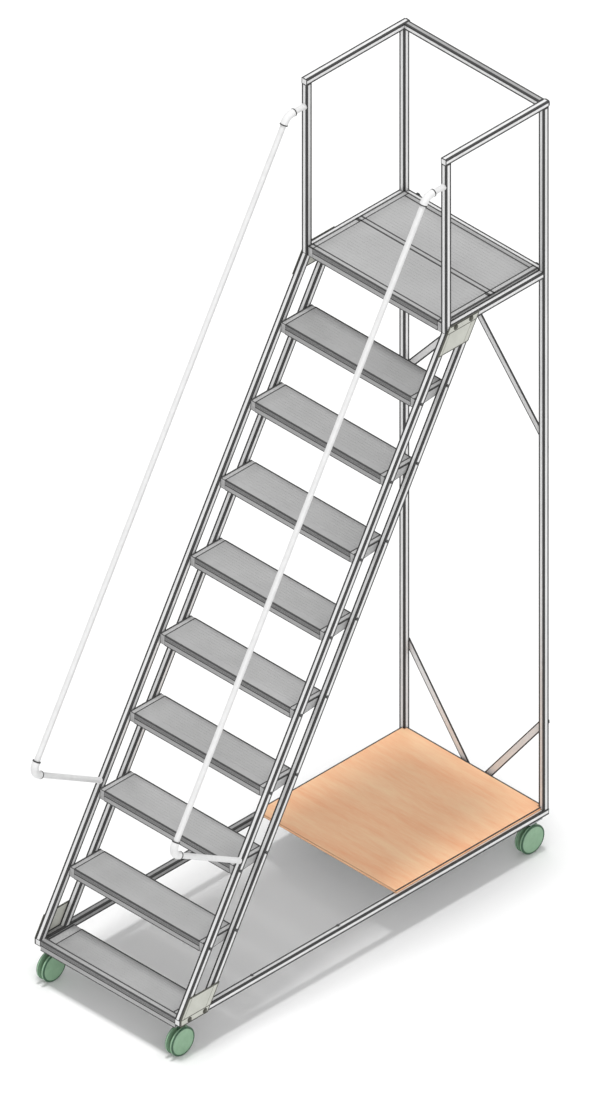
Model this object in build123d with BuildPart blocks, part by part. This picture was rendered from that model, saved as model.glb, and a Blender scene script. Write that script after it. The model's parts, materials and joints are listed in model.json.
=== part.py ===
from build123d import *
from math import cos, radians, sin, tan
import os

# Mobile platform stair of square aluminium profile, in millimetres.
# +Z up, +Y from the lowest step to the platform, +X to the climber's right.
# The origin is on the floor under the middle of the stair.

# Profile and overall frame
profile = 30.0
profile_wall = 2.5
profile_corner = 3.0
width = 830.0
platform_length = 590.0
climb_angle = 60.0
rise = 300.0
rise_count = 9
step_drop = 13.0
beam_drop = 10.0
guard_height = 838.0

# Stringers, each made of two parallel members
stringer_depth = 150.0
gusset_thickness = 4.0
gusset_reach = 88.0
bolt_diameter = 14.0
bolt_height = 5.0
bolt_places = (52.0, 140.0)

# Step planks
step_depth = 178.0
step_front = 48.0
step_body = 34.0
step_wall = 2.5
step_bracket = 27.0
lowest_step_bracket = 48.0
bracket_drop = 1.0
nosing_depth = 25.0
nosing_band = 22.0
nosing_ribs = 4
rib_depth = 1.2
rib_width = 3.0
tread_rib_depth = 0.5
tread_ribs = 9
lowest_step_depth = 161.5
deck_setback = 6.0
deck_joint = 2.0
deck_ribs = 14

# Storage board on the base
board_thickness = 12.0
board_depth = 848.0
board_inset = 15.0
board_clearance = 2.0

# Rear bracing
brace_width = 34.0
brace_thickness = 5.0
lower_brace_height = 432.0
lower_brace_foot = 58.0
upper_brace_height = 1790.0
upper_brace_head = 348.0
brace_overhang = 10.0
brace_corner = 8.0
brace_spacer = 20.0

# Handrails
rail_diameter = 25.0
rail_wall = 2.0
rail_distance = 450.0
rail_mount_along = 709.0
rail_mount_height = 700.0
fitting_diameter = 34.0
bend_radius = 45.0
bend_steps = 4
collar_length = 11.0
flange_diameter = 29.0
flange_thickness = 5.0

# Castors
wheel_diameter = 133.0
disc_thickness = 12.5
disc_gap = 18.0
tyre_round = 4.0
face_dish = 2.0
rim_width = 12.0
castor_height = 173.5
castor_inset = 55.0
castor_side_inset = 46.0
castor_trail = 10.0
castor_plate_thickness = 5.0
castor_plate_width = 80.0
castor_plate_length = 79.0
castor_plate_corner = 6.0
castor_plate_gap = 1.0
crown_diameter = 40.0
crown_height = 24.0
kingpin_diameter = 12.0
leg_thickness = 8.0
leg_width = 36.0
leg_root = 2.0
boss_diameter = 24.0
axle_diameter = 12.0
axle_head_diameter = 20.0
axle_head_thickness = 2.0
head_clearance = 2.0
head_gap = 0.5
pin_clearance = 0.3

# Flat sides that round pieces are built with
wheel_sides = 40
tube_sides = 20
pin_sides = 16
bolt_sides = 12

# Heights above the floor
base_top = castor_height + profile
platform_rise = rise * rise_count
deck_top = base_top + platform_rise - step_drop
beam_top = deck_top - beam_drop
beam_bottom = beam_top - profile
guard_top = beam_top + guard_height
guard_bottom = guard_top - profile

# Distances along the stair
climb_run = (beam_bottom - base_top) / tan(radians(climb_angle))
base_length = climb_run + platform_length
climb = Vector(0, cos(radians(climb_angle)), sin(radians(climb_angle)))
outward = Vector(0, -climb.Z, climb.Y)
bend_y = rail_mount_along * climb.Y + rail_distance * outward.Y + bend_radius * (climb.Y - outward.Y)
wheel_overhang = wheel_diameter / 2 + castor_trail - castor_inset
front_overhang = max(bend_radius + fitting_diameter / 2 - bend_y, wheel_overhang)
rear_overhang = 2 * brace_thickness
front_y = (front_overhang - rear_overhang - base_length) / 2
rear_y = front_y + base_length
platform_front_y = front_y + climb_run
outer_x = width / 2
inner_x = outer_x - profile
member_x = outer_x - profile / 2
sides = {"left": -1, "right": 1}


def plane_y(height):
    """Where the front plane of the stringers is at a height above the floor."""
    return front_y + (height - base_top) / tan(radians(climb_angle))


def write(builder, name):
    """Labels a finished piece and writes it."""
    builder.part.label = name
    export_step(builder.part, f"parts/{name}.step")


def profile_section():
    """The square tube section that every bar of the frame is cut from."""
    flat = profile / 2 - profile_corner
    half = profile / 2
    Polygon((half, flat), (flat, half), (-flat, half), (-half, flat),
            (-half, -flat), (-flat, -half), (flat, -half), (half, -flat), align=None)
    inside = profile - 2 * profile_wall
    Rectangle(inside, inside, mode=Mode.SUBTRACT)


def bar(name, start, direction, length):
    """A straight bar of the profile from the middle of its first end."""
    with BuildPart() as piece:
        with BuildSketch(Plane(origin=start, x_dir=cross_axis(direction), z_dir=direction)):
            profile_section()
        extrude(amount=length)
    write(piece, name)


def cross_axis(direction):
    """A direction square to a bar, along the width wherever that is possible."""
    return (0, 1, 0) if abs(Vector(*direction).X) > 0.5 else (1, 0, 0)


def base_frame():
    half = profile / 2
    for side, sign in sides.items():
        bar(f"base_side_rail_{side}", (sign * member_x, front_y, base_top - half), (0, 1, 0), base_length)
    bar("base_rear_bar", (-inner_x, rear_y - half, base_top - half), (1, 0, 0), 2 * inner_x)
    with BuildPart() as front_bar:
        with BuildSketch(Plane.YZ.offset(-inner_x)):
            with BuildLine():
                Polyline(nosing_outline(front_y, base_top, profile, profile, step_front), close=True)
            make_face()
            chamber(front_y, base_top, 0, profile, step_front)
        extrude(amount=2 * inner_x)
    write(front_bar, "base_front_bar")


def nosing_outline(y, top, depth, body_depth, body_height):
    """Outline of a plank section: ribbed front face, flat lip, and the thinner body behind it."""
    pitch = nosing_band / nosing_ribs
    points = [(y, top)]
    for rib in range(nosing_ribs):
        upper = top - pitch * rib - (pitch - rib_width)
        lower = top - pitch * (rib + 1)
        points += [(y, upper), (y + rib_depth, upper), (y + rib_depth, lower), (y, lower)]
    points += [(y, top - step_front)]
    if body_height < step_front:
        points += [(y + nosing_depth, top - step_front), (y + nosing_depth, top - body_height)]
    points += [(y + depth, top - body_height), (y + depth, top)]
    return points


def chamber(y, top, start, end, height):
    """One hollow chamber along a plank, between two distances behind the front face."""
    long = end - start - 2 * step_wall
    tall = height - 2 * step_wall
    with Locations((y + (start + end) / 2, top - height / 2)):
        Rectangle(long, tall, mode=Mode.SUBTRACT)


def plank(name, y, top, depth, ribs, front, body, bracket=step_bracket):
    """A hollow extruded plank with a ribbed nose and shallow ribs along its top."""
    length = 2 * (inner_x - bracket)
    pitch = (depth - nosing_depth) / (ribs + 1)
    with BuildPart() as piece:
        with BuildSketch(Plane.YZ.offset(-length / 2)):
            with BuildLine():
                if front > body:
                    Polyline(nosing_outline(y, top, depth, depth, body), close=True)
                else:
                    Polyline((y, top), (y, top - body), (y + depth, top - body), (y + depth, top), close=True)
            make_face()
            walls = [0, nosing_depth + step_wall]
            walls += [nosing_depth + (depth - nosing_depth) / 2 + step_wall / 2, depth]
            for wall in range(len(walls) - 1):
                start = walls[wall] - (step_wall if wall else 0)
                height = front if wall == 0 else body
                chamber(y, top, start, walls[wall + 1], height)
            for rib in range(1, ribs + 1):
                with Locations((y + nosing_depth + rib * pitch, top)):
                    Rectangle(rib_width, 2 * tread_rib_depth, mode=Mode.SUBTRACT)
        extrude(amount=length)
    write(piece, name)


def steps():
    plank("tread_1", front_y + profile, base_top - step_drop, lowest_step_depth, tread_ribs,
          profile - step_drop, profile - step_drop, lowest_step_bracket)
    for number in range(2, rise_count + 1):
        top = base_top - step_drop + rise * (number - 1)
        plank(f"tread_{number}", plane_y(top), top, step_depth, tread_ribs, step_front, step_body)


def deck():
    start = platform_front_y + deck_setback
    each = (rear_y - profile - start - deck_joint) / 2
    plank("deck_plank_front", start, deck_top, each, deck_ribs, step_front, step_body)
    plank("deck_plank_rear", start + each + deck_joint, deck_top, each, deck_ribs, step_front, step_body)


def step_brackets():
    """End castings that carry the planks on the inner faces of the stringers and the platform beams."""
    rows = [(front_y + profile, base_top - step_drop, lowest_step_depth, profile - step_drop,
             lowest_step_bracket)]
    for number in range(2, rise_count + 1):
        top = base_top - step_drop + rise * (number - 1)
        rows.append((plane_y(top), top, step_depth, step_front, step_bracket))
    deck_start = platform_front_y + deck_setback
    rows.append((deck_start, deck_top, rear_y - profile - deck_start, step_front, step_bracket))
    for side, sign in sides.items():
        with BuildPart() as piece:
            for y, top, depth, height, bracket in rows:
                back = min(height, step_body)
                with BuildSketch(Plane.YZ.offset(sign * inner_x)):
                    with BuildLine():
                        Polyline((y + rib_depth, top - bracket_drop), (y + rib_depth, top - height),
                                 (y + nosing_depth, top - height), (y + depth, top - back),
                                 (y + depth, top - bracket_drop), close=True)
                    make_face()
                extrude(amount=-sign * bracket)
        write(piece, f"step_brackets_{side}")


def stringers():
    half = profile / 2
    middle = Vector(0, front_y, base_top)
    reach = stringer_depth
    length = (beam_bottom - base_top) / climb.Z + 2 * reach
    rows = {"front": half, "rear": stringer_depth - half}
    for place, depth in rows.items():
        for side, sign in sides.items():
            start = middle + Vector(sign * member_x, 0, 0) - outward * depth - climb * reach
            with BuildPart() as piece:
                with BuildSketch(Plane(origin=start, x_dir=(1, 0, 0), z_dir=climb)):
                    profile_section()
                extrude(amount=length)
                split(bisect_by=Plane.XY.offset(base_top), keep=Keep.TOP)
                split(bisect_by=Plane.XY.offset(beam_bottom), keep=Keep.BOTTOM)
            write(piece, f"stringer_{place}_{side}")


def gusset_outline(bottom, top):
    """Slanted outline between the front and rear planes of a stringer."""
    back = stringer_depth / sin(radians(climb_angle))
    return [(plane_y(bottom), bottom), (plane_y(bottom) + back, bottom),
            (plane_y(top) + back, top), (plane_y(top), top)]


def gussets():
    half = profile / 2
    lower = gusset_outline(base_top - profile, base_top + gusset_reach)
    lower[0] = (front_y, base_top - profile)
    lower.append((front_y, base_top))
    upper = gusset_outline(beam_bottom - gusset_reach, beam_top)
    rows = {
        # name: outline, where the bolts are counted from, height of the bolts
        "lower": (lower, front_y, base_top - half),
        "upper": (upper, platform_front_y, beam_top - half),
    }
    for place, (points, bolt_start, bolt_middle) in rows.items():
        for side, sign in sides.items():
            with BuildPart() as piece:
                with BuildSketch(Plane.YZ.offset(sign * outer_x)):
                    with BuildLine():
                        Polyline(points, close=True)
                    make_face()
                extrude(amount=sign * gusset_thickness)
                with BuildSketch(Plane.YZ.offset(sign * (outer_x + gusset_thickness))):
                    with Locations(*[(bolt_start + along, bolt_middle) for along in bolt_places]):
                        RegularPolygon(bolt_diameter / 2, bolt_sides)
                extrude(amount=sign * bolt_height)
            write(piece, f"gusset_{place}_{side}")


def platform():
    half = profile / 2
    for side, sign in sides.items():
        x = sign * member_x
        beam_start = (x, platform_front_y + profile, beam_top - half)
        post_start = (x, platform_front_y + half, beam_bottom)
        bar(f"platform_side_beam_{side}", beam_start, (0, 1, 0), platform_length - 2 * profile)
        bar(f"front_post_{side}", post_start, (0, 0, 1), guard_bottom - beam_bottom)
        bar(f"rear_post_{side}", (x, rear_y - half, base_top), (0, 0, 1), guard_bottom - base_top)
        bar(f"guard_rail_{side}", (x, platform_front_y, guard_top - half), (0, 1, 0), platform_length)
    bar("platform_rear_beam", (-inner_x, rear_y - half, beam_top - half), (1, 0, 0), 2 * inner_x)
    bar("guard_rail_rear", (-inner_x, rear_y - half, guard_top - half), (1, 0, 0), 2 * inner_x)


def board():
    board_width = width - 2 * board_inset
    centre_y = rear_y - board_inset - board_depth / 2
    notch = profile + board_clearance - board_inset
    with BuildPart() as piece:
        with BuildSketch(Plane.XY.offset(base_top)):
            with Locations((0, centre_y)):
                Rectangle(board_width, board_depth)
            with Locations((0, centre_y + board_depth / 2 - notch / 2)):
                with GridLocations(board_width - notch, 0, 2, 1):
                    Rectangle(notch, notch, mode=Mode.SUBTRACT)
        extrude(amount=board_thickness)
    write(piece, "storage_board")


def braces():
    """Flat diagonal braces on the back of the rear posts, the crossing one set off by spacers."""
    upper_head = beam_top - profile / 2
    lower_foot = base_top - profile / 2
    rows = {
        # name: post side, height on the post, x at the far end, height at the far end, set off
        "brace_lower_left": (-1, base_top + lower_brace_height, -lower_brace_foot, lower_foot, 0),
        "brace_lower_right": (1, base_top + lower_brace_height, lower_brace_foot, lower_foot, 0),
        "brace_upper_left": (-1, base_top + upper_brace_height, upper_brace_head, upper_head, 0),
        "brace_upper_right": (1, base_top + upper_brace_height, -upper_brace_head, upper_head,
                              brace_thickness),
    }
    for name, (side, post_height, far_x, far_height, set_off) in rows.items():
        post_end = Vector(side * member_x, rear_y + set_off, post_height)
        far_end = Vector(far_x, rear_y + set_off, far_height)
        run = far_end - post_end
        back = Plane(origin=post_end, x_dir=run.normalized(), z_dir=(0, 1, 0))
        ends = ((0, 0), (run.length, 0))
        with BuildPart() as piece:
            with BuildSketch(back):
                with Locations((run.length / 2, 0)):
                    strip = Rectangle(run.length + 2 * brace_overhang, brace_width)
                chamfer(strip.vertices(), brace_corner)
            extrude(amount=brace_thickness)
            if set_off:
                with BuildSketch(back.offset(-set_off)):
                    with Locations(*ends):
                        RegularPolygon(brace_spacer / 2, pin_sides)
                extrude(amount=set_off)
        write(piece, name)


def elbow_points(sign):
    """Centres of the lower and upper handrail elbows on one side."""
    foot = Vector(sign * member_x, front_y, base_top) + climb * rail_mount_along
    lower = foot + outward * rail_distance
    upper_height = beam_top + rail_mount_height
    upper = lower + climb * ((upper_height - lower.Z) / climb.Z)
    return foot, lower, upper


def handrails():
    for side, sign in sides.items():
        foot, lower, upper = elbow_points(sign)
        post_face = Vector(upper.X, platform_front_y, upper.Z)
        rows = (
            # middle of the bend, seat of the support, direction of the rail
            (lower, foot, climb),
            (upper, post_face, climb * -1),
        )
        ends = []
        with BuildPart() as mounts:
            for elbow, seat, along in rows:
                away = (seat - elbow).normalized()
                turn = 180 - away.get_angle(along)
                tangent = bend_radius * tan(radians(turn / 2))
                arm = tangent + collar_length
                ends.append(elbow + along * arm)
                with BuildLine():
                    bend = TangentArc(elbow + away * tangent, elbow + along * tangent, tangent=away * -1,
                                      mode=Mode.PRIVATE)
                    steps = [bend @ (step / bend_steps) for step in range(bend_steps + 1)]
                    Polyline(elbow + away * arm, *steps, elbow + along * arm)
                with BuildSketch(Plane(origin=elbow + away * arm, x_dir=(1, 0, 0), z_dir=away * -1)):
                    RegularPolygon(fitting_diameter / 2, tube_sides)
                sweep(transition=Transition.RIGHT)
                rounds = (
                    # length, diameter
                    ((elbow - seat).length - tangent, rail_diameter),
                    (flange_thickness, flange_diameter),
                )
                for length, diameter in rounds:
                    with BuildSketch(Plane(origin=seat, x_dir=(1, 0, 0), z_dir=away * -1)):
                        RegularPolygon(diameter / 2, tube_sides)
                    extrude(amount=length)
        write(mounts, f"handrail_mounts_{side}")
        with BuildPart() as tube:
            with BuildSketch(Plane(origin=ends[0], x_dir=(1, 0, 0), z_dir=climb)):
                RegularPolygon(rail_diameter / 2, tube_sides)
                RegularPolygon(rail_diameter / 2 - rail_wall, tube_sides, mode=Mode.SUBTRACT)
            extrude(amount=(ends[1] - ends[0]).length)
        write(tube, f"handrail_{side}")


castors = {
    # name: x sign, y of the swivel axis
    "front_left": (-1, front_y + castor_inset),
    "front_right": (1, front_y + castor_inset),
    "rear_left": (-1, rear_y - castor_inset),
    "rear_right": (1, rear_y - castor_inset),
}
wheel_radius = wheel_diameter / 2
plate_bottom = castor_height - castor_plate_thickness
swivel_x = outer_x - castor_side_inset


def castor_plates():
    plate_x = outer_x - castor_plate_width / 2
    reach = profile + castor_plate_gap + castor_plate_length / 2
    with BuildPart() as piece:
        with BuildSketch(Plane.XY.offset(plate_bottom)) as outline:
            for y in (front_y + reach, rear_y - reach):
                with Locations((0, y)):
                    with GridLocations(2 * plate_x, 0, 2, 1):
                        Rectangle(castor_plate_width, castor_plate_length)
            chamfer(outline.vertices(), castor_plate_corner)
            for sign, y in castors.values():
                with Locations((sign * swivel_x, y)):
                    RegularPolygon(kingpin_diameter / 2 + pin_clearance, pin_sides,
                                   major_radius=False, mode=Mode.SUBTRACT)
        extrude(amount=castor_plate_thickness)
    write(piece, "castor_plates")


def axle_plane(x, axle_y):
    """A plane square to the axle with its middle on the axle."""
    return Plane(origin=(x, axle_y, wheel_radius), x_dir=(0, 1, 0), z_dir=(1, 0, 0))


def castor_head(name, x, y):
    """Crown, kingpin and the leg between the two discs, in one casting."""
    crown_bottom = plate_bottom - crown_height
    across = axle_plane(x - disc_gap / 2, y - castor_trail)
    with BuildPart() as piece:
        with BuildSketch(Plane.YZ.offset(x - leg_thickness / 2)):
            with Locations((y, crown_bottom)):
                Rectangle(leg_width, leg_root)
            with Locations((y - castor_trail, wheel_radius)):
                RegularPolygon(leg_width / 2, tube_sides)
            make_hull()
        extrude(amount=leg_thickness)
        rounds = (
            # plane, length, diameter, sides, mode
            (across, disc_gap, boss_diameter, tube_sides, Mode.ADD),
            (Plane(origin=(x, y, crown_bottom)), crown_height, crown_diameter, tube_sides, Mode.ADD),
            (Plane(origin=(x, y, plate_bottom)), castor_plate_thickness - pin_clearance,
             kingpin_diameter, pin_sides, Mode.ADD),
            (across, disc_gap, axle_diameter, pin_sides, Mode.SUBTRACT),
        )
        for plane, length, diameter, count, mode in rounds:
            with BuildSketch(plane):
                RegularPolygon(diameter / 2, count)
            extrude(amount=length, mode=mode)
    write(piece, f"castor_head_{name}")


def castor_axle(name, x, axle_y):
    half = disc_gap / 2 + disc_thickness - face_dish
    rounds = (
        # distance from the middle, length, diameter
        (-half, 2 * half, axle_diameter),
        (-half, axle_head_thickness, axle_head_diameter),
        (half - axle_head_thickness, axle_head_thickness, axle_head_diameter),
    )
    with BuildPart() as piece:
        for start, length, diameter in rounds:
            with BuildSketch(axle_plane(x + start, axle_y)):
                RegularPolygon(diameter / 2, pin_sides)
            extrude(amount=length)
    write(piece, f"castor_axle_{name}")


def castor_wheels(name, x, axle_y):
    """The two discs of a twin-wheel castor, each with a dished outer face."""
    bore = axle_diameter / 2 + pin_clearance
    recess = axle_head_diameter / 2 + head_clearance
    recess_depth = axle_head_thickness + face_dish + head_gap
    body = disc_thickness - tyre_round
    cuts = (
        # depth from the outer face, radius, sides
        (face_dish, wheel_radius - rim_width, wheel_sides),
        (recess_depth, recess, pin_sides),
        (disc_thickness, bore, pin_sides),
    )
    with BuildPart() as piece:
        for sign in (-1, 1):
            middle = (x + sign * disc_gap / 2, axle_y, wheel_radius)
            inner = Plane(origin=middle, x_dir=(0, 1, 0), z_dir=(sign, 0, 0))
            with BuildSketch(inner):
                RegularPolygon(wheel_radius, wheel_sides)
            extrude(amount=body)
            with BuildSketch(inner.offset(body)):
                RegularPolygon(wheel_radius, wheel_sides)
            extrude(amount=tyre_round, taper=45)
            for depth, radius, count in cuts:
                with BuildSketch(inner.offset(disc_thickness - depth)):
                    RegularPolygon(radius, count, major_radius=False)
                extrude(amount=depth, mode=Mode.SUBTRACT)
    write(piece, f"castor_wheels_{name}")


def castor_sets():
    castor_plates()
    for name, (sign, y) in castors.items():
        x = sign * swivel_x
        castor_head(name, x, y)
        castor_axle(name, x, y - castor_trail)
        castor_wheels(name, x, y - castor_trail)


os.makedirs("parts", exist_ok=True)
base_frame()
steps()
deck()
step_brackets()
stringers()
gussets()
platform()
board()
braces()
handrails()
castor_sets()
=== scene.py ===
# %% [markdown]
# A mobile platform stair.
# The frame is bought-in square aluminium profile, the steps are ribbed aluminium planks, and the
# whole stair rolls on four green twin-wheel castors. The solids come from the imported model, and
# each cell below finishes one of the real stair's pieces on top of them.

import json
import math

import bmesh
import bpy
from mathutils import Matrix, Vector


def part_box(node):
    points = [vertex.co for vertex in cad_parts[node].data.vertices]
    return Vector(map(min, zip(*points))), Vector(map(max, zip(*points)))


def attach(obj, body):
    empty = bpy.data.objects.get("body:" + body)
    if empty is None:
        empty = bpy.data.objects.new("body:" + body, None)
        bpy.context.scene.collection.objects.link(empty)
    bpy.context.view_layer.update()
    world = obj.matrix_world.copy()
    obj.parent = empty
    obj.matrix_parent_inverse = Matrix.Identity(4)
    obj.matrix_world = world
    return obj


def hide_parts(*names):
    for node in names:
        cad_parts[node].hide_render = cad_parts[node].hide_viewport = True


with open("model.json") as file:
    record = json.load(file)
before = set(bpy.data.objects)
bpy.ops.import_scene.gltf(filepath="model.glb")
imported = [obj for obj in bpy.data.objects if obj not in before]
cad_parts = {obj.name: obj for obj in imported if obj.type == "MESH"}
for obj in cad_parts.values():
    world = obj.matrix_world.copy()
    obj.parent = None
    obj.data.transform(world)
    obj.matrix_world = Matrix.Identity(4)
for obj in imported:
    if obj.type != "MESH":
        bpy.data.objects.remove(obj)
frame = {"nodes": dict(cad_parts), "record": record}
nodes = frame["nodes"]
scene = bpy.context.scene
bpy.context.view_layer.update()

# %% [markdown]
# The camera.
# The picture is a parallel view from above the right front corner, like a technical drawing.
# A perspective lens could come close from far away, but an orthographic camera keeps the parallel
# rails parallel. Its aim is given from the top of the base rail's front corner.

# %% Camera
VIEW_AZIMUTH = math.radians(45.0)
VIEW_ELEVATION = math.radians(35.264)
VIEW_HEIGHT = 4.5377
AIM_RIGHT = 0.4875
AIM_UP = 1.8764
CAMERA_DISTANCE = 9.0

toward = Vector((
    -math.sin(VIEW_AZIMUTH) * math.cos(VIEW_ELEVATION),
    math.cos(VIEW_AZIMUTH) * math.cos(VIEW_ELEVATION),
    -math.sin(VIEW_ELEVATION),
))
right = toward.cross(Vector((0, 0, 1))).normalized()
up = right.cross(toward)
rail_low, rail_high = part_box("base_side_rail_right")
aim = Vector((rail_high.x, rail_low.y, rail_high.z)) + right * AIM_RIGHT + up * AIM_UP

camera_data = bpy.data.cameras.new("camera")
camera_data.type = "ORTHO"
camera_data.ortho_scale = VIEW_HEIGHT
camera_data.clip_end = 4 * CAMERA_DISTANCE
camera = bpy.data.objects.new("camera", camera_data)
camera.location = aim - toward * CAMERA_DISTANCE
camera.rotation_euler = toward.to_track_quat("-Z", "Y").to_euler()
scene.collection.objects.link(camera)
scene.camera = camera
print("camera aims at", [round(v, 3) for v in aim])

# %% [markdown]
# Small helpers for materials.
# A colour picked from a swatch is in sRGB, while the renderer adds up light, so each hex value is
# turned to linear once, here. A node's settings and links are given in one call, which keeps the
# material cells short.

# %% Material helpers
NOISE_DETAIL = 5.0
BUMP_STRENGTH = 0.3


def linear(code):
    """The linear colour of an sRGB hex code."""
    parts = [int(code[i:i + 2], 16) / 255 for i in (1, 3, 5)]
    return [p / 12.92 if p <= 0.04045 else ((p + 0.055) / 1.055) ** 2.4 for p in parts] + [1.0]


def add(tree, kind, inputs=(), **settings):
    """Adds a node, sets its properties, and fills or links its inputs."""
    made = tree.nodes.new(kind)
    for name, value in settings.items():
        setattr(made, name, value)
    for key, value in dict(inputs).items():
        if isinstance(value, bpy.types.NodeSocket):
            tree.links.new(value, made.inputs[key])
        else:
            made.inputs[key].default_value = value
    return made


def surface(name, light, dark, grain, stretch=(1, 1, 1), bump=0.0, sharp=0.5, fine=0.55, **shader):
    """A finish whose colour wanders between two hex codes over a grain of so many millimetres.

    The stretch scales the grain along each axis, sharp is the share of the noise that the two
    colours divide, fine is the roughness of the noise, and bump is the depth of its relief.
    """
    made = bpy.data.materials.new(name)
    made.use_nodes = True
    tree = made.node_tree
    tree.nodes.clear()
    place = add(tree, "ShaderNodeTexCoord").outputs["Object"]
    mapped = add(tree, "ShaderNodeMapping", {"Vector": place, "Scale": stretch})
    noise = add(tree, "ShaderNodeTexNoise", {"Vector": mapped.outputs[0], "Scale": 1000 / grain,
                                             "Detail": NOISE_DETAIL, "Roughness": fine})
    ramp = add(tree, "ShaderNodeValToRGB", {"Fac": noise.outputs["Fac"]})
    ramp.color_ramp.elements[0].position = 0.5 - sharp / 2
    ramp.color_ramp.elements[0].color = linear(dark)
    ramp.color_ramp.elements[1].position = 0.5 + sharp / 2
    ramp.color_ramp.elements[1].color = linear(light)
    inputs = {"Base Color": ramp.outputs["Color"], **shader}
    if bump:
        relief = add(tree, "ShaderNodeBump",
                     {"Height": noise.outputs["Fac"], "Strength": BUMP_STRENGTH, "Distance": bump})
        inputs["Normal"] = relief.outputs["Normal"]
    principled = add(tree, "ShaderNodeBsdfPrincipled", inputs)
    add(tree, "ShaderNodeOutputMaterial", {"Surface": principled.outputs["BSDF"]})
    return made


# %% [markdown]
# The finishes of the frame.
# Natural anodised aluminium looks pale and soft, because its oxide skin scatters the light before
# the metal mirrors it. The planks are the same metal left as extruded, which is greyer. The flat
# braces share one finish, but the lower pair gets a paler, cooler copy of it, painted light that
# lifts them and cancels the warm light thrown up from the board. The gussets are painted, and the
# handrails are coated white. The board has an oak veneer, whose grain runs across the stair in long
# streaks of two browns.

# %% Frame materials
profile_finish = surface("anodised_aluminium_profile", "#E4E4E4", "#D2D2D2", 60.0, stretch=(1, 1, 0.2),
                         Metallic=0.35, Roughness=0.42)
plank_finish = surface("extruded_aluminium_plank", "#B2B2B2", "#959595", 420.0, sharp=0.7,
                       Metallic=0.35, Roughness=0.5)
casting_finish = surface("cast_aluminium_bracket", "#BEBEBE", "#A6A6A6", 9.0, bump=0.0004,
                         Metallic=0.35, Roughness=0.6)
gusset_finish = surface("painted_gusset_plate", "#C2C3BA", "#B6B7AE", 40.0, Roughness=0.45)
brace_finish = surface("flat_aluminium_bar", "#D6D6D6", "#CACACA", 50.0, Metallic=0.2, Roughness=0.45)
# A paler, cooler copy of the brace finish: painted light for the lower braces.
light_painted_brace_finish = surface("light_painted_brace_bar", "#E8EAEC", "#DEE0E2", 50.0, Metallic=0.2, Roughness=0.45)
coat_finish = surface("white_powder_coat", "#DADADA", "#D0D0D0", 30.0, Roughness=0.35)
fitting_finish = surface("moulded_white_nylon", "#E0E0E0", "#D6D6D6", 25.0, Roughness=0.4)
wheel_finish = surface("moulded_green_polyurethane", "#8AAC8E", "#7C9F81", 30.0, Roughness=0.5)
castor_finish = surface("moulded_dark_green_nylon", "#33583F", "#2A4B35", 25.0, Roughness=0.5)
zinc_finish = surface("zinc_plated_steel", "#B4B6B8", "#9EA0A2", 12.0, Metallic=0.9, Roughness=0.4)
board_finish = surface("oak_veneer", "#FFD4A8", "#F7B486", 90.0, stretch=(0.14, 1, 1),
                       sharp=0.36, fine=0.78, Roughness=0.5)

finishes = {
    "profile": profile_finish, "tread": plank_finish, "bracket": casting_finish, "gusset": gusset_finish,
    "brace": brace_finish, "handrail": coat_finish, "fitting": fitting_finish, "board": board_finish,
    "wheel": wheel_finish, "castor_head": castor_finish, "castor_steel": zinc_finish,
}
for subpart in frame["record"]["subparts"]:
    mesh = nodes[subpart["node"]].data
    mesh.materials.clear()
    mesh.materials.append(finishes[subpart["material_slot"]])

# %% [markdown]
# Two ways to make a mesh.
# Bars, seams and screws repeat all over the stair, so a node tree grows each kind from a few lines
# or points, and the result is kept as a plain mesh. The wheels, spacers, flanges and collar rings
# are turned shapes, and come from one outline spun about an axis. A face looks squarely along an
# axis if its normal has most of its length there.

# %% Mesh helpers
MM = 0.001
MERGE = 2e-6
TURNED_CREASE = math.radians(35)
SQUARELY = 0.9


def piece(name, mesh, body, slot_name, *replaced):
    """Puts a finished mesh in the scene as a piece that rides on a body."""
    made = bpy.data.objects.new(name, mesh)
    scene.collection.objects.link(made)
    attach(made, body)
    if replaced:
        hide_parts(*replaced)
    return made


def new_tree(name, finishes_wanted, **sizes):
    """An empty geometry tree with named sizes and finishes, and its input sockets."""
    tree = bpy.data.node_groups.new(name, "GeometryNodeTree")
    tree.interface.new_socket("Geometry", in_out="INPUT", socket_type="NodeSocketGeometry")
    for key, value in sizes.items():
        size = tree.interface.new_socket(key, in_out="INPUT", socket_type="NodeSocketFloat")
        size.default_value = value
    for key in finishes_wanted:
        tree.interface.new_socket(key, in_out="INPUT", socket_type="NodeSocketMaterial")
    tree.interface.new_socket("Geometry", in_out="OUTPUT", socket_type="NodeSocketGeometry")
    return tree, add(tree, "NodeGroupInput").outputs


def grow(name, tree, verts, edges, body, slot_name, inputs, replaced=(), facing=None, shape=None):
    """Runs a tree on points or lines in metres and keeps the result as a plain mesh."""
    seed = bpy.data.meshes.new(name)
    seed.from_pydata([tuple(v) for v in verts], edges, [])
    if facing:
        layer = seed.attributes.new("facing", "FLOAT_VECTOR", "POINT")
        layer.data.foreach_set("vector", [c for n in facing for c in n])
    holder = bpy.data.objects.new(name + "_seed", seed)
    scene.collection.objects.link(holder)
    modifier = holder.modifiers.new("nodes", "NODES")
    modifier.node_group = tree
    for item in tree.interface.items_tree:
        if item.in_out == "INPUT" and item.name in inputs:
            modifier[item.identifier] = inputs[item.name]
    bpy.context.view_layer.update()
    graph = bpy.context.evaluated_depsgraph_get()
    mesh = bpy.data.meshes.new_from_object(holder.evaluated_get(graph))
    holder.modifiers.remove(modifier)
    bpy.data.objects.remove(holder)
    if shape:
        shape(mesh)
    print(name, len(mesh.polygons), "faces")
    return piece(name, mesh, body, slot_name, *replaced)


def chain(pairs):
    """The points and edges of separate straight lines, given as pairs of ends."""
    verts = [end for pair in pairs for end in pair]
    return verts, [(i, i + 1) for i in range(0, len(verts), 2)]


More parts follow.
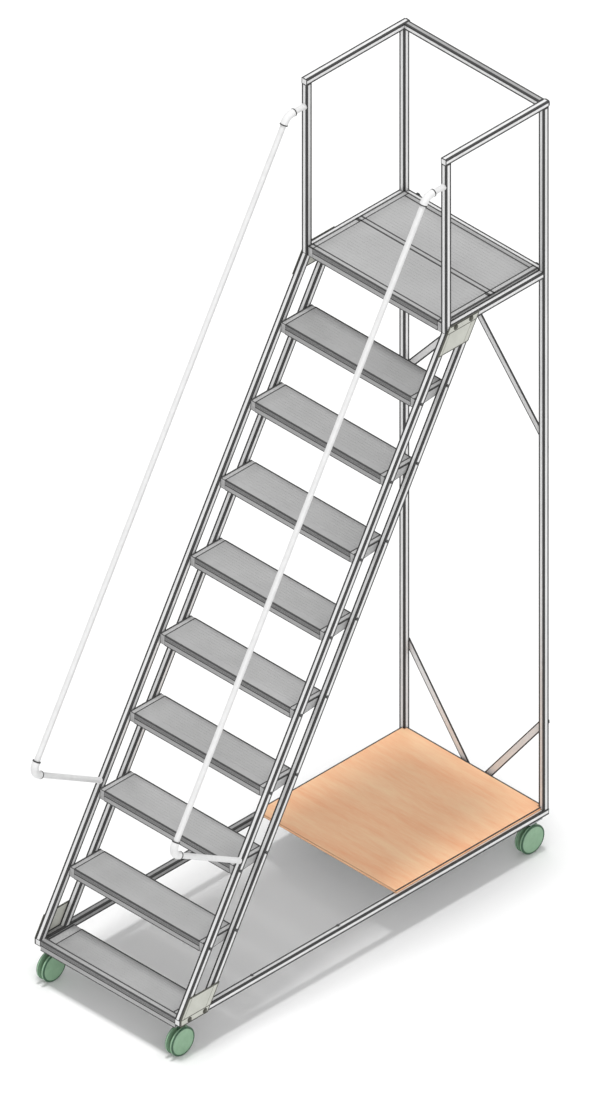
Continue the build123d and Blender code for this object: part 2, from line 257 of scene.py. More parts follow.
def spin(work, outline, centre, axis, sides):
    """Turns an outline of (distance along the axis, radius, finish number) about an axis."""
    axis = Vector(axis).normalized()
    side = axis.orthogonal().normalized()
    other = axis.cross(side)
    angles = [2 * math.pi * i / sides for i in range(sides)]
    turns = [(math.cos(angle), math.sin(angle)) for angle in angles]
    rings = []
    for along, radius, finish in outline:
        middle = Vector(centre) + axis * along
        spread = turns if radius > 0 else [(0, 0)]
        ring = [work.verts.new(middle + (side * c + other * s) * radius) for c, s in spread]
        rings.append((ring, finish))
    for (a, _), (b, finish) in zip(rings, rings[1:]):
        for i in range(sides if max(len(a), len(b)) > 1 else 0):
            j = (i + 1) % sides
            corners = []
            for v in (a[i % len(a)], a[j % len(a)], b[j % len(b)], b[i % len(b)]):
                if v not in corners:
                    corners.append(v)
            face = work.faces.new(corners)
            face.material_index = finish
            face.smooth = True


def turned(name, shapes, sides, finishes_used, body, slot_name, *replaced):
    """One piece of several turned shapes: outline, centre and axis of each."""
    work = bmesh.new()
    for outline, centre, axis in shapes:
        spin(work, outline, centre, axis, sides)
    bmesh.ops.remove_doubles(work, verts=work.verts, dist=MERGE)
    bmesh.ops.recalc_face_normals(work, faces=work.faces)
    mesh = bpy.data.meshes.new(name)
    work.to_mesh(mesh)
    work.free()
    for finish in finishes_used:
        mesh.materials.append(finish)
    mesh.set_sharp_from_angle(angle=TURNED_CREASE)
    print(name, len(mesh.polygons), "faces")
    return piece(name, mesh, body, slot_name, *replaced)


# %% [markdown]
# The square profile.
# Each bar of the real frame is an extruded square tube. A pale strip runs along the middle of each
# face, and the corners are dark edgings that stand out against a white wall. The tree divides a
# square into seven parts a side and sweeps it along one line for each bar. The two parts nearest
# to each corner are the edging. Their outer points sit a little lower than the pale strips, and a
# mark kept on these points tells which faces get the dark finish: a face with half of its points
# marked, or all of them. An outer point is known by its distance from the middle of the square, as
# a share of its width.

# %% Profile tree
PROFILE = 30 * MM
SKIN = 0.2 * MM
PULL = 0.4 * MM
PARTS = 7
OUTER_POINT = 0.58
DARK_FACE = 0.46

edging_finish = surface("dark_anodised_edging", "#303030", "#262626", 20.0, Roughness=0.6)
tree, given = new_tree("profile_bars", ("Face", "Edging"), Width=PROFILE, Pull=PULL)
line = add(tree, "GeometryNodeMeshToCurve", {"Mesh": given["Geometry"]})
line = add(tree, "GeometryNodeSetCurveNormal", {"Curve": line.outputs[0]}, mode="Z_UP")
square = add(tree, "GeometryNodeCurvePrimitiveQuadrilateral",
             {"Width": given["Width"], "Height": given["Width"]})
parts = add(tree, "GeometryNodeSubdivideCurve", {"Curve": square.outputs[0], "Cuts": PARTS - 1})
place = add(tree, "GeometryNodeInputPosition")
distance = add(tree, "ShaderNodeVectorMath", {0: place.outputs[0]}, operation="LENGTH")
limit = add(tree, "ShaderNodeMath", {0: given["Width"], 1: OUTER_POINT}, operation="MULTIPLY")
corner = add(tree, "FunctionNodeCompare", {"A": distance.outputs["Value"], "B": limit.outputs[0]},
             operation="GREATER_THAN")
away = add(tree, "ShaderNodeVectorMath", {0: place.outputs[0]}, operation="NORMALIZE")
depth = add(tree, "ShaderNodeMath", {0: given["Pull"], 1: -math.sqrt(2)}, operation="MULTIPLY")
offset = add(tree, "ShaderNodeVectorMath", {0: away.outputs[0], "Scale": depth.outputs[0]},
             operation="SCALE")
kept = add(tree, "GeometryNodeCaptureAttribute", {"Geometry": parts.outputs[0]}, domain="POINT")
kept.capture_items.new("FLOAT", "Corner")
tree.links.new(corner.outputs[0], kept.inputs["Corner"])
section = add(tree, "GeometryNodeSetPosition", {"Geometry": kept.outputs[0], "Selection": corner.outputs[0],
                                                "Offset": offset.outputs[0]})
bars = add(tree, "GeometryNodeCurveToMesh", {"Curve": line.outputs[0], "Profile Curve": section.outputs[0],
                                             "Fill Caps": True})
dark = add(tree, "FunctionNodeCompare", {"A": kept.outputs["Corner"], "B": DARK_FACE},
           operation="GREATER_THAN")
whole = add(tree, "GeometryNodeRealizeInstances", {"Geometry": bars.outputs[0]})
faced = add(tree, "GeometryNodeSetMaterial", {"Geometry": whole.outputs[0], "Material": given["Face"]})
edged = add(tree, "GeometryNodeSetMaterial", {"Geometry": faced.outputs[0], "Selection": dark.outputs[0],
                                              "Material": given["Edging"]})
add(tree, "NodeGroupOutput", {"Geometry": edged.outputs[0]})
profile_tree = tree

# %% [markdown]
# The bars of the base, the platform and the guard rail.
# Each bar's middle line is read from the box of its solid, so the bars stay exactly where the
# solids are. Posts, beams and rails are separate pieces on the real frame, but they share one
# finish, so each level of the frame is kept as one piece. Two bars get painted shade, a greyer copy
# of the finish on some faces: the top of the rear guard rail, and the top and inner side of the
# left base rail.

# %% Straight bars


def middle_line(node):
    """The two ends of a straight bar's middle line, from its box."""
    low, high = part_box(node)
    size = high - low
    along = max(range(3), key=lambda i: size[i])
    start, end = (low + high) / 2, (low + high) / 2
    start[along], end[along] = low[along], high[along]
    return start, end


levels = {
    "base_bars": ["base_side_rail_left", "base_side_rail_right", "base_rear_bar"],
    "platform_bars": ["platform_side_beam_left", "platform_side_beam_right", "platform_rear_beam"],
    "posts": ["front_post_left", "front_post_right", "rear_post_left", "rear_post_right"],
    "guard_bars": ["guard_rail_left", "guard_rail_right", "guard_rail_rear"],
}
profile_inputs = {"Width": PROFILE - 2 * SKIN, "Pull": PULL,
                  "Face": profile_finish, "Edging": edging_finish}
# A greyer copy of the profile finish: painted shade for some faces of two bars.
shade_painted_finish = surface("shade_painted_aluminium_rail", "#A4A4A4", "#949494", 60.0, Metallic=0.35, Roughness=0.5)
rear_rail_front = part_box("guard_rail_rear")[0].y
left_rail_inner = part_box("base_side_rail_left")[1].x


def paint_shade(in_shade):
    """A step that paints shade on the pale faces that pass a test, with the greyer copy of the finish."""
    def shape(mesh):
        mesh.materials.append(shade_painted_finish)
        for face in mesh.polygons:
            if mesh.materials[face.material_index] == profile_finish and in_shade(face):
                face.material_index = len(mesh.materials) - 1
    return shape


# Painted shade: the faces of these two bars that take the greyer copy of the finish.
shade_painted_faces = {
    "base_bars": paint_shade(lambda face: max(face.normal.x, face.normal.z) > SQUARELY
                      and face.center.x < left_rail_inner),
    "guard_bars": paint_shade(lambda face: face.normal.z > SQUARELY and face.center.y > rear_rail_front),
}
for name, replaced in levels.items():
    verts, edges = chain([middle_line(node) for node in replaced])
    grow(name, profile_tree, verts, edges, "frame", "profile", profile_inputs, replaced,
         shape=shade_painted_faces.get(name))

# %% [markdown]
# The stringers.
# They lean at 60 degrees and are sawn level at both ends. A swept bar has square ends, so each end
# is slid along the bar until it lies in the level plane of the cut.

# %% Stringers
CLIMB = math.radians(60.0)
climb = Vector((0, math.cos(CLIMB), math.sin(CLIMB)))
outward = Vector((0, -climb.z, climb.y))
foot_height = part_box("stringer_front_right")[0].z
head_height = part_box("stringer_front_right")[1].z


def cut_level(mesh):
    """Slides the ends of leaning bars to the level planes of their cuts."""
    middle = (foot_height + head_height) / 2
    for vertex in mesh.vertices:
        target = foot_height if vertex.co.z < middle else head_height
        vertex.co += climb * ((target - vertex.co.z) / climb.z)


BOTH = ("left", "right")
stringers = [f"stringer_{place}_{side}" for place in ("front", "rear") for side in BOTH]
half_run = PROFILE / 2 / math.sin(CLIMB)
lines = []
for node in stringers:
    low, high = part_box(node)
    x = (low.x + high.x) / 2
    lines.append((Vector((x, low.y + half_run, low.z)), Vector((x, high.y - half_run, high.z))))
verts, edges = chain(lines)
grow("stringer_bars", profile_tree, verts, edges, "frame", "profile", profile_inputs, stringers,
     shape=cut_level)

# %% [markdown]
# Seams.
# Wherever two pieces of the stair meet, or a plate ends, the picture shows a dark line. On the
# real stair these are rubber strips, shadow gaps and sealed edges, a few millimetres wide. One
# tree sweeps a small rectangle along every such line. The finishes of seams, screws and cut edges
# are made here too. Rubber and sealant are dull, so they are rough.

# %% Seam tree
tree, given = new_tree("seams", ("Finish",), Across=3 * MM, Tall=3 * MM)
line = add(tree, "GeometryNodeMeshToCurve", {"Mesh": given["Geometry"]})
line = add(tree, "GeometryNodeSetCurveNormal", {"Curve": line.outputs[0]}, mode="Z_UP")
strip = add(tree, "GeometryNodeCurvePrimitiveQuadrilateral",
            {"Width": given["Across"], "Height": given["Tall"]})
swept = add(tree, "GeometryNodeCurveToMesh", {"Curve": line.outputs[0], "Profile Curve": strip.outputs[0],
                                              "Fill Caps": True})
whole = add(tree, "GeometryNodeRealizeInstances", {"Geometry": swept.outputs[0]})
black = add(tree, "GeometryNodeSetMaterial", {"Geometry": whole.outputs[0], "Material": given["Finish"]})
add(tree, "NodeGroupOutput", {"Geometry": black.outputs[0]})
seam_tree = tree
rubber_finish = surface("black_rubber_strip", "#414141", "#333333", 12.0, Roughness=0.7)
rib_finish = surface("worn_rubber_rib", "#5E5E5E", "#4A4A4A", 8.0, Roughness=0.75)
screw_finish = surface("blackened_steel_screw", "#454545", "#363636", 6.0, Roughness=0.45)
gusset_seal = surface("sealed_gusset_edge", "#55554C", "#42423B", 15.0, Roughness=0.6)
gusset_fold = surface("pressed_gusset_fold", "#9C9C90", "#84847A", 8.0, Roughness=0.6)
board_seal = surface("sealed_board_edge", "#D0A07A", "#BE8E69", 25.0, Roughness=0.6)
backing_finish = surface("grey_backing_sheet", "#D2D2D2", "#C4C4C4", 60.0, Roughness=0.7)


def seams(name, lines, across, tall, finish, slot_name):
    """A set of straight seams of one width and height."""
    verts, edges = chain(lines)
    inputs = {"Across": across, "Tall": tall, "Finish": finish}
    return grow(name, seam_tree, verts, edges, "frame", slot_name, inputs)


# %% [markdown]
# The treads and the deck.
# A plank is one extrusion with a ribbed rubber nose. Its long edges, its nose and the double joint
# of the deck get their seams here. The rubber stands half a millimetre proud, as an inlaid strip
# does, so each line lies a little inside the plank's faces.

# %% Plank seams
NOSE_BAND = 22 * MM
NOSE_RIBS = 4
NOSE_RIB = 3 * MM
NOSE_SEAM = 3.9 * MM
NOSE_DEPTH = 25 * MM
STRIP = 7 * MM
TALL = 3 * MM
PROUD = 0.5 * MM

treads = [f"tread_{i}" for i in range(1, 10)]
decks = ["deck_plank_front", "deck_plank_rear"]
nosed = ["base_front_bar"] + treads[1:] + decks[:1]
inset = STRIP / 2 - PROUD
sunk = TALL / 2 - PROUD


def across_stair(node, y, z):
    """A line over the whole width of a plank."""
    low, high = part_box(node)
    return Vector((low.x, y, z)), Vector((high.x, y, z))


top_lines, nose_lines, rib_lines = [], [], []
for node in ["base_front_bar"] + treads + decks:
    low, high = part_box(node)
    top_lines.append(across_stair(node, low.y + inset, high.z - sunk))
    if node != decks[0]:
        top_lines.append(across_stair(node, high.y - inset, high.z - sunk))
    if node in nosed:
        band = high.z - NOSE_BAND - NOSE_RIB / 2
        nose_lines.append(across_stair(node, low.y + sunk, band))
        nose_lines.append(across_stair(node, low.y + sunk, low.z + TALL / 2))
        for rib in range(NOSE_RIBS):
            z = high.z - NOSE_BAND / NOSE_RIBS * (rib + 1) + NOSE_RIB / 2
            rib_lines.append(across_stair(node, low.y + sunk, z))
    if node in decks:
        top_lines.append(across_stair(node, low.y + NOSE_DEPTH, high.z - sunk))
        last_edge = high.y - NOSE_DEPTH
top_lines.append(across_stair(decks[1], last_edge, high.z - sunk))
seams("plank_edges", top_lines, STRIP, TALL, rubber_finish, "tread")
seams("nose_seams", nose_lines, TALL, NOSE_SEAM, rubber_finish, "tread")
seams("nose_ribs", rib_lines, TALL, NOSE_RIB, rib_finish, "tread")

# %% [markdown]
# Where the planks end.
# Each plank end sits against a cast bracket, and the bracket against a stringer or a platform beam.
# Both meetings are shadow gaps on the real stair. The deck also has a short gap in its end strips
# at each plank's edge.

# %% Plank ends
END_STRIP = 4.9 * MM
inner_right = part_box("base_side_rail_right")[0].x
end_lines, gap_lines, short_lines = [], [], []
for node in treads + decks:
    low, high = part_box(node)
    for sign in (-1, 1):
        for x, lines in ((high.x, end_lines), (inner_right - STRIP / 2, gap_lines)):
            lines.append((Vector((sign * x, low.y, high.z - sunk)),
                          Vector((sign * x, high.y, high.z - sunk))))
        if node in decks:
            for y in (low.y + inset, high.y - inset, low.y + NOSE_DEPTH):
                short_lines.append((Vector((sign * high.x, y, high.z - sunk)),
                                    Vector((sign * inner_right, y, high.z - sunk))))
seams("plank_ends", end_lines, END_STRIP, TALL, rubber_finish, "bracket")
seams("bracket_gaps", gap_lines, STRIP, TALL, rubber_finish, "bracket")
seams("deck_gaps", short_lines, STRIP, TALL, rubber_finish, "bracket")

# %% [markdown]
# Joints of the bars.
# Bars are sawn square and bolted end to face, so a dark line goes round each bar where it ends. The
# bars themselves are a fifth of a millimetre under size on each side, so that the lines reach the
# solids' planes and never pass them.

# %% Joint rings
REACH = PROFILE / 2 - TALL / 2


def ring(centre, axis):
    """Four lines round a square bar, in the plane across its axis."""
    one, two = [Vector([float(i == j) for j in range(3)]) * REACH for i in range(3) if i != axis]
    corners = [centre + one + two, centre - one + two, centre - one - two, centre + one - two]
    return list(zip(corners, corners[1:] + corners[:1]))


ring_lines = []
for nodes_of_level in levels.values():
    for node in nodes_of_level:
        start, end = middle_line(node)
        along = max(range(3), key=lambda i: abs(end[i] - start[i]))
        step = (end - start).normalized() * sunk
        ring_lines += ring(start + step, along) + ring(end - step, along)
seams("bar_joints", ring_lines, TALL, TALL, edging_finish, "profile")

# %% [markdown]
# The rear ends of the guard rails are closed with moulded caps, which have rounded corners.

# %% Rail caps
CAP = 6 * MM
CAP_CORNER = 8 * MM
work = bmesh.new()
for node in ("guard_rail_left", "guard_rail_right"):
    start, end = middle_line(node)
    made = bmesh.ops.create_cube(work, size=1.0)["verts"]
    bmesh.ops.scale(work, vec=(PROFILE - MM, CAP, PROFILE - MM), verts=made)
    bmesh.ops.translate(work, vec=end + Vector((0, CAP / 2, 0)), verts=made)
rims = [edge for edge in work.edges if abs(edge.verts[0].co.y - edge.verts[1].co.y) > CAP / 2]
bmesh.ops.bevel(work, geom=rims, offset=CAP_CORNER, segments=4, profile=0.5, affect="EDGES")
mesh = bpy.data.meshes.new("rail_caps")
work.to_mesh(mesh)
work.free()
mesh.materials.append(edging_finish)
piece("rail_caps", mesh, "frame", "profile")
print("rail_caps", len(mesh.polygons), "faces")

# %% [markdown]
# Screws.
# The brackets of the treads are screwed through both members of each stringer, and the base rails
# carry two screws each on top, near their inner edge. One tree sets a button head on each point
# and turns it the way the point faces.

# %% Button tree
HEAD_RADIUS = 7 * MM
HEAD_HEIGHT = 3 * MM
HEAD_SIDES = 12

tree, given = new_tree("buttons", ("Finish",), Radius=HEAD_RADIUS, Height=HEAD_HEIGHT)
head = add(tree, "GeometryNodeMeshCylinder",
           {"Vertices": HEAD_SIDES, "Radius": given["Radius"], "Depth": given["Height"]})
facing = add(tree, "GeometryNodeInputNamedAttribute", {"Name": "facing"}, data_type="FLOAT_VECTOR")
turn = add(tree, "FunctionNodeAlignRotationToVector", {"Vector": facing.outputs[0]}, axis="Z")
heads = add(tree, "GeometryNodeInstanceOnPoints", {"Points": given["Geometry"], "Instance": head.outputs[0],
                                                   "Rotation": turn.outputs[0]})
whole = add(tree, "GeometryNodeRealizeInstances", {"Geometry": heads.outputs[0]})
black = add(tree, "GeometryNodeSetMaterial", {"Geometry": whole.outputs[0], "Material": given["Finish"]})
add(tree, "NodeGroupOutput", {"Geometry": black.outputs[0]})
button_tree = tree

# %% Screws
STEP_DEPTH = 150 * MM / climb.z
FRONT_SCREW_DROP = 14 * MM
REAR_SCREW_RISE = 4 * MM
RAIL_SCREWS = (436 * MM, 930 * MM)
front_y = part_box("base_side_rail_right")[0].y
base_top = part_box("base_side_rail_right")[1].z
outer_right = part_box("base_side_rail_right")[1].x
screw_inputs = {"Radius": HEAD_RADIUS, "Height": HEAD_HEIGHT, "Finish": screw_finish}
spots, faces_out = [], []
for sign in (-1, 1):
    for node in treads[1:]:
        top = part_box(node)[1].z
        for rise, along in ((-FRONT_SCREW_DROP, half_run), (REAR_SCREW_RISE, STEP_DEPTH - half_run)):
            z = top + rise
            y = front_y + (z - base_top) * climb.y / climb.z + along
            spots.append((sign * (outer_right + MM), y, z))
            faces_out.append((sign, 0, 0))
    for along in RAIL_SCREWS:
        spots.append((sign * (inner_right + HEAD_RADIUS), front_y + along, base_top + MM))
        faces_out.append((0, 0, 1))
grow("screws", button_tree, spots, [], "frame", "bracket", screw_inputs, facing=faces_out)

# %% [markdown]
# Plates with sealed edges.
# Gussets, braces and the board are cut plates, and their cut edges are sealed in a darker tone. The
# brackets are castings with dark edges. Each is a copy of its solid. Every large flat side is inset
# by the width of the seal, and the rim takes the darker finish. Sides under a given area in square
# millimetres, such as bolt heads, are dark all over. The outer brace loses its spacers here,
# which come back as turned ones below, and the tip of its foot, which the picture hides.

# %% Sealed plates
FLAT = 0.9999
WELD = 1e-5


def flat_groups(work):
    """The faces of a mesh, gathered into flat connected groups, in the order of the mesh."""
    grouped, groups = set(), []
    for seed in work.faces:
        if seed in grouped:
            continue
        grouped.add(seed)
        group, rim = [seed], [seed]
        while rim:
            for edge in rim.pop().edges:
                for face in edge.link_faces:
                    if face not in grouped and face.normal.dot(seed.normal) > FLAT:
                        grouped.add(face)
                        group.append(face)
                        rim.append(face)
        groups.append(group)
    return groups


def cut_off(work, point, away):
    """Takes away what lies past a plane, and closes the holes left."""
    bmesh.ops.bisect_plane(work, geom=work.verts[:] + work.edges[:] + work.faces[:], dist=WELD,
                           plane_co=point, plane_no=away, clear_outer=True)
    bmesh.ops.holes_fill(work, edges=[edge for edge in work.edges if edge.is_boundary])


def sealed(name, node_names, slot_name, finishes_used, seal, smallest, cuts=()):
    """Copies solids and seals the edges of their large flat sides.

    The finishes are those of the faces, of the rims and, if there is a third, of the underside.
    """
    work = bmesh.new()
    for node in node_names:
        work.from_mesh(nodes[node].data)
    bmesh.ops.remove_doubles(work, verts=work.verts, dist=WELD)
    for point, away in cuts:
        cut_off(work, point, away)
    for group in flat_groups(work):
        if sum(face.calc_area() for face in group) < smallest * MM * MM:
            for face in group:
                face.material_index = 1
            continue
        if len(finishes_used) > 2 and group[0].normal.z < -SQUARELY:
            for face in group:
                face.material_index = 2
        rim = bmesh.ops.inset_region(work, faces=group, thickness=seal, use_even_offset=True,
                                     use_boundary=True)
        for face in rim["faces"]:
            face.material_index = 1
    bmesh.ops.recalc_face_normals(work, faces=work.faces)
    mesh = bpy.data.meshes.new(name)
    work.to_mesh(mesh)
    work.free()
    for finish in finishes_used:
        mesh.materials.append(finish)
    print(name, len(mesh.polygons), "faces")
    return piece(name, mesh, "frame", slot_name, *node_names)


# %% Gussets, braces, brackets and board
GUSSET_SEAL = 5.5 * MM
LOWER_BRACE_SEAL = 5 * MM
UPPER_BRACE_SEAL = 6 * MM
BRACKET_SEAL = 2.5 * MM
BOARD_SEAL = 3 * MM
SMALL_ON_GUSSET = 2000
SMALL_ON_BRACE = 10000
SMALL_ON_BRACKET = 1200
SMALL_ON_BOARD = 5000
HIDDEN_TIP = 12 * MM

sealed("gusset_plates", [f"gusset_{place}_{side}" for place in ("lower", "upper") for side in BOTH],
       "gusset", [gusset_finish, gusset_seal], GUSSET_SEAL, SMALL_ON_GUSSET)
# The lower braces take the paler copy of the brace finish, which is painted light.
sealed("lower_braces", [f"brace_lower_{side}" for side in BOTH],
       "brace", [light_painted_brace_finish, edging_finish], LOWER_BRACE_SEAL, SMALL_ON_BRACE)
sealed("inner_brace", ["brace_upper_left"],
       "brace", [brace_finish, edging_finish], UPPER_BRACE_SEAL, SMALL_ON_BRACE)
plate_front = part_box("brace_upper_left")[1].y
plate_end = outer_right - HIDDEN_TIP
sealed("outer_brace", ["brace_upper_right"],
       "brace", [brace_finish, edging_finish], UPPER_BRACE_SEAL, SMALL_ON_BRACE,
       cuts=[((0, plate_front, 0), (0, -1, 0)), ((plate_end, 0, 0), (1, 0, 0))])
sealed("bracket_castings", [f"step_brackets_{side}" for side in BOTH],
       "bracket", [casting_finish, rubber_finish], BRACKET_SEAL, SMALL_ON_BRACKET)
sealed("board_panel", ["storage_board"],
       "board", [board_finish, board_seal, backing_finish], BOARD_SEAL, SMALL_ON_BOARD)

# %% [markdown]
# The board's strips.
# The board lies on the base rails along three sides, and a rubber strip closes each of those sides.
# The free front edge has none. The strips stop short of the notches round the rear posts.

# %% Board strips
NOTCH = 17 * MM
BOARD_STRIP = 5 * MM
low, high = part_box("storage_board")
strip_z = high.z - sunk
edge_x = high.x - BOARD_STRIP / 2
edge_y = high.y - BOARD_STRIP / 2
board_lines = []
for sign in (-1, 1):
    board_lines.append((Vector((sign * edge_x, low.y, strip_z)),
                        Vector((sign * edge_x, high.y - NOTCH, strip_z))))
board_lines.append((Vector((low.x + NOTCH, edge_y, strip_z)), Vector((high.x - NOTCH, edge_y, strip_z))))
seams("board_strips", board_lines, BOARD_STRIP, TALL, rubber_finish, "board")

# %% [markdown]
# Spacers.
# The two upper braces cross, so the outer one stands off the posts on a turned spacer at each end.

# %% Brace spacers
SPACER_RADIUS = 10 * MM
SPACER_LENGTH = 5 * MM
ROUND = 24
corners = [vert.co for vert in nodes["brace_upper_right"].data.vertices]
pin_corners = [co for co in corners if co.y < plate_front - MM]
spacer = [(0, 0, 0), (0, SPACER_RADIUS, 0), (SPACER_LENGTH, SPACER_RADIUS, 0), (SPACER_LENGTH, 0, 0)]
spacer_seats = []
for sign in (-1, 1):
    own = [co for co in pin_corners if co.x * sign > 0]
    spacer_seats.append(sum(own, Vector()) / len(own))
turned("brace_spacers", [(spacer, seat, (0, 1, 0)) for seat in spacer_seats], ROUND, [zinc_finish],
       "frame", "brace")

# %% [markdown]
# Folds of the gussets.
# The pressed plates show faint folds along both stringers, and a dark line where the base rail or
# the platform beam begins.

# %% Gusset folds
FOLD = 3 * MM
FOLD_WIDTH = 2.1 * MM
GUSSET_THICKNESS = 4 * MM
FRONT_FOLD = 19 * MM
REAR_FOLD = 30 * MM
LINE_END = 6 * MM
slope = climb.y / climb.z
fold_lines, dark_lines = [], []
plate_x = outer_right + GUSSET_THICKNESS
for place in ("lower", "upper"):
    low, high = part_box(f"gusset_{place}_right")
    rail_edge = base_top if place == "lower" else high.z - PROFILE
    levels_z = (rail_edge, high.z) if place == "lower" else (low.z, rail_edge)
    for sign in (-1, 1):
        x = sign * (plate_x - FOLD / 2 + PROUD)
        fronts = [front_y + (z - base_top) * slope for z in levels_z]
        for along in (FRONT_FOLD, STEP_DEPTH - REAR_FOLD):
            fold_lines.append(tuple(Vector((x, y + along, z)) for y, z in zip(fronts, levels_z)))
        y = front_y + (rail_edge - base_top) * slope
        dark_lines.append((Vector((x, y + LINE_END, rail_edge)),
                           Vector((x, y + STEP_DEPTH - LINE_END, rail_edge))))
seams("gusset_folds", fold_lines, FOLD_WIDTH, FOLD, gusset_fold, "gusset")
seams("gusset_rail_lines", dark_lines, FOLD, FOLD, gusset_seal, "gusset")

# %% [markdown]
# Handrails.
# Each handrail is a round tube held by two plastic elbows. The path of a rail goes from the
# stringer to the lower bend, along the stair to the upper bend, and back to the front post. The
# tree rounds both bends and sweeps a circle along the path. The same tree makes the elbows, which
# are short thicker sweeps round each bend.

# %% Tube tree
TUBE_RADIUS = 12.5 * MM
BEND = 45 * MM
BEND_PARTS = 10

tree, given = new_tree("round_tubes", ("Finish",), Radius=TUBE_RADIUS, Bend=BEND)
line = add(tree, "GeometryNodeMeshToCurve", {"Mesh": given["Geometry"]})
bent = add(tree, "GeometryNodeFilletCurve",
           {"Curve": line.outputs[0], "Radius": given["Bend"], "Count": BEND_PARTS}, mode="POLY")
circle = add(tree, "GeometryNodeCurvePrimitiveCircle", {"Resolution": ROUND, "Radius": given["Radius"]})
swept = add(tree, "GeometryNodeCurveToMesh", {"Curve": bent.outputs[0], "Profile Curve": circle.outputs[0],
                                              "Fill Caps": True})
whole = add(tree, "GeometryNodeRealizeInstances", {"Geometry": swept.outputs[0]})
white = add(tree, "GeometryNodeSetMaterial", {"Geometry": whole.outputs[0], "Material": given["Finish"]})
add(tree, "NodeGroupOutput", {"Geometry": white.outputs[0]})
tube_tree = tree

# %% Handrail paths
RAIL_DISTANCE = 450 * MM
RAIL_MOUNT_ALONG = 709 * MM
RAIL_MOUNT_HEIGHT = 700 * MM
COLLAR = 11 * MM
ELBOW_RADIUS = 16.8 * MM
TUBE_CREASE = math.radians(40)
member_x = (inner_right + outer_right) / 2
beam_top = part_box("platform_side_beam_right")[1].z
post_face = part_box("front_post_right")[0].y


def smooth_sides(mesh):
    """Smooth sides with crisp ends."""
    mesh.shade_smooth()
    mesh.set_sharp_from_angle(angle=TUBE_CREASE)


rail_verts, rail_edges, elbow_verts, elbow_edges, seats, collars = [], [], [], [], [], []
for sign in (-1, 1):
    foot = Vector((sign * member_x, front_y, base_top)) + climb * RAIL_MOUNT_ALONG
    lower = foot + outward * RAIL_DISTANCE
    height = beam_top + RAIL_MOUNT_HEIGHT
    upper = lower + climb * ((height - lower.z) / climb.z)
    seat = Vector((upper.x, post_face, upper.z))
    first = len(rail_verts)
    rail_verts += [foot, lower, upper, seat]
    rail_edges += [(first, first + 1), (first + 1, first + 2), (first + 2, first + 3)]
    for elbow, end, along in ((lower, foot, climb), (upper, seat, -climb)):
        away = (end - elbow).normalized()
        half_turn = (math.pi - away.angle(along)) / 2
        arm = BEND * math.tan(half_turn) + COLLAR
        first = len(elbow_verts)
        elbow_verts += [elbow + away * arm, elbow, elbow + along * arm]
        elbow_edges += [(first, first + 1), (first + 1, first + 2)]
        seats.append((end, -away))
        collars += [(elbow + away * arm, away), (elbow + along * arm, along)]
grow("handrail_tubes", tube_tree, rail_verts, rail_edges, "frame", "handrail",
     {"Radius": TUBE_RADIUS, "Bend": BEND, "Finish": coat_finish}, ["handrail_left", "handrail_right"],
     shape=smooth_sides)
grow("handrail_elbows", tube_tree, elbow_verts, elbow_edges, "frame", "fitting",
     {"Radius": ELBOW_RADIUS, "Bend": BEND, "Finish": fitting_finish},
     ["handrail_mounts_left", "handrail_mounts_right"], shape=smooth_sides)

# %% [markdown]
# Flanges and collar rings.
# A tube ends on a small round flange where it meets the stringer or the post, and a dark ring
# closes each end of an elbow. Their outlines are in millimetres: along the axis, radius, finish.

# %% Handrail flanges and collars


def in_metres(outline):
    """An outline in millimetres, turned to metres."""
    return [(along * MM, radius * MM, finish) for along, radius, finish in outline]


flange = in_metres([(0, 0, 0), (0, 14.5, 0), (-4, 14.5, 0), (-5, 13.5, 0), (-5, 0, 0)])
collar = in_metres([(-2, 12, 0), (-2, 17.6, 0), (3, 17.6, 0), (3, 12, 0), (-2, 12, 0)])
turned("handrail_flanges", [(flange, seat, away) for seat, away in seats], ROUND, [fitting_finish],
       "frame", "fitting")
turned("collar_rings", [(collar, place, away) for place, away in collars], ROUND, [edging_finish],
       "frame", "fitting")

# %% [markdown]
# The castor wheels.
# Each castor has two moulded discs with a dark band at the rim and a flat cover over the axle head.
# Both discs are turned shapes, so one outline makes all eight of them. The outline goes from the
# bore out over the inner side, across the tread and back along the face to the middle.

# %% Castor wheels
WHEEL_SIDES = 48
wheel = in_metres([
    (9.3, 6.5, 0), (9.3, 64.8, 0), (10.6, 66.5, 1), (17.2, 66.5, 0), (20.0, 65.4, 1), (21.5, 62.4, 1),
    (21.5, 59.6, 1), (20.8, 58.0, 1), (20.6, 56.0, 0), (20.6, 0.0, 0), (19.8, 0.0, 0), (19.8, 12.0, 0),
    (17.0, 12.0, 0), (17.0, 6.5, 0), (9.3, 6.5, 0),
])
for place in ("front_left", "front_right", "rear_left", "rear_right"):
    low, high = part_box(f"castor_wheels_{place}")
    centre = (low + high) / 2
    discs = [(wheel, centre, (sign, 0, 0)) for sign in (-1, 1)]
    turned(f"twin_wheels_{place}", discs, WHEEL_SIDES, [wheel_finish, castor_finish],
           f"wheels_{place}", "wheel", f"castor_wheels_{place}")

# %% [markdown]
# Floor and light.
# The real picture stands on white with one soft grey shadow straight below the stair. A soft sun
# straight above makes that shadow, a weaker and much wider one lights the faces turned to the
# camera, and an even white world fills the rest. The floor is near white, and the world is plain
# white where the camera, a reflection or a ray through glass looks past it.

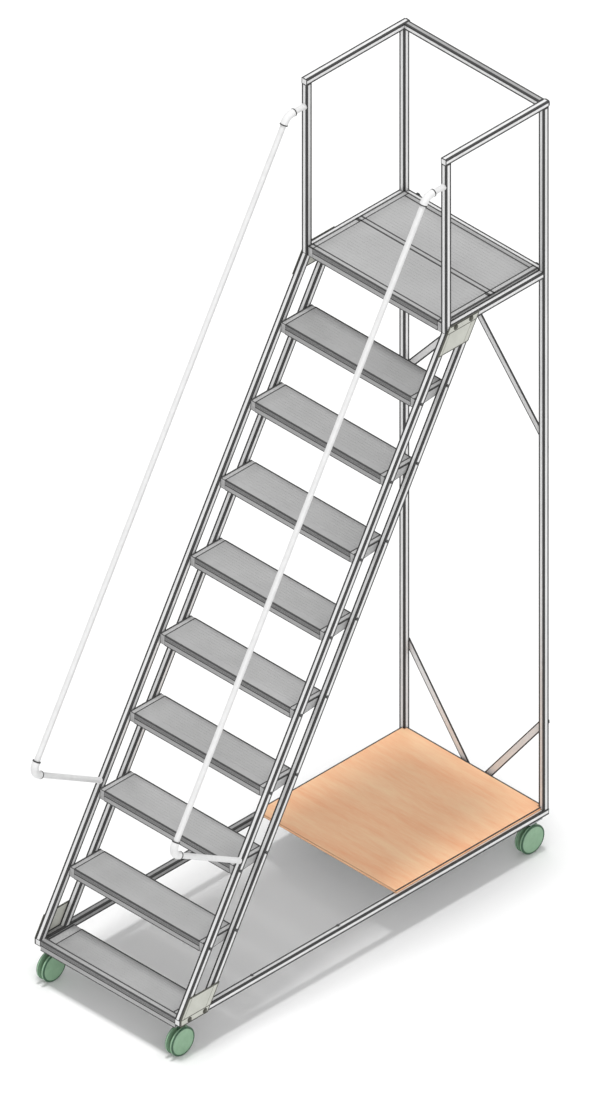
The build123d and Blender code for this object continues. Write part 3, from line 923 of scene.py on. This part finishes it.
# %% Stage
SUN_STRENGTH = 2.05
SUN_ANGLE = math.radians(11.0)
SIDE_STRENGTH = 1.08
SIDE_ANGLE = math.radians(60.0)
STRAIGHT_DOWN = (0.0, 0.0, -1.0)
FROM_FRONT_RIGHT = (-0.8, 0.6, -0.3)
FILL_STRENGTH = 0.61
WHITE = (1, 1, 1, 1)
FLOOR_SIZE = 60.0

floor_mesh = bpy.data.meshes.new("floor")
half = FLOOR_SIZE / 2
floor_mesh.from_pydata([(-half, -half, 0), (half, -half, 0), (half, half, 0), (-half, half, 0)], [],
                       [(0, 1, 2, 3)])
floor = bpy.data.objects.new("floor", floor_mesh)
scene.collection.objects.link(floor)
floor_finish = surface("matt_white_floor", "#ECECEC", "#EAEAEA", 400.0, Roughness=0.9)
floor_mesh.materials.append(floor_finish)


def sun(name, strength, angle, direction):
    """A sun lamp that shines along a direction."""
    lamp = bpy.data.lights.new(name, "SUN")
    lamp.energy = strength
    lamp.angle = angle
    made = bpy.data.objects.new(name, lamp)
    made.rotation_euler = Vector(direction).to_track_quat("-Z", "Y").to_euler()
    scene.collection.objects.link(made)
    return made


sun("overhead_sun", SUN_STRENGTH, SUN_ANGLE, STRAIGHT_DOWN)
sun("side_sun", SIDE_STRENGTH, SIDE_ANGLE, FROM_FRONT_RIGHT)

world = bpy.data.worlds.new("studio")
world.use_nodes = True
scene.world = world
world.node_tree.nodes.clear()
sky = world.node_tree
rays = add(sky, "ShaderNodeLightPath").outputs
seen = add(sky, "ShaderNodeMath", {0: rays["Is Camera Ray"], 1: rays["Is Glossy Ray"]},
           operation="MAXIMUM")
seen = add(sky, "ShaderNodeMath", {0: seen.outputs[0], 1: rays["Is Transmission Ray"]},
           operation="MAXIMUM")
fill = add(sky, "ShaderNodeBackground", {"Color": WHITE, "Strength": FILL_STRENGTH})
white = add(sky, "ShaderNodeBackground", {"Color": WHITE, "Strength": 1.0})
mixed = add(sky, "ShaderNodeMixShader", {0: seen.outputs[0], 1: fill.outputs[0], 2: white.outputs[0]})
add(sky, "ShaderNodeOutputWorld", {"Surface": mixed.outputs[0]})
scene.view_settings.view_transform = "Standard"
print("lamps and world set")
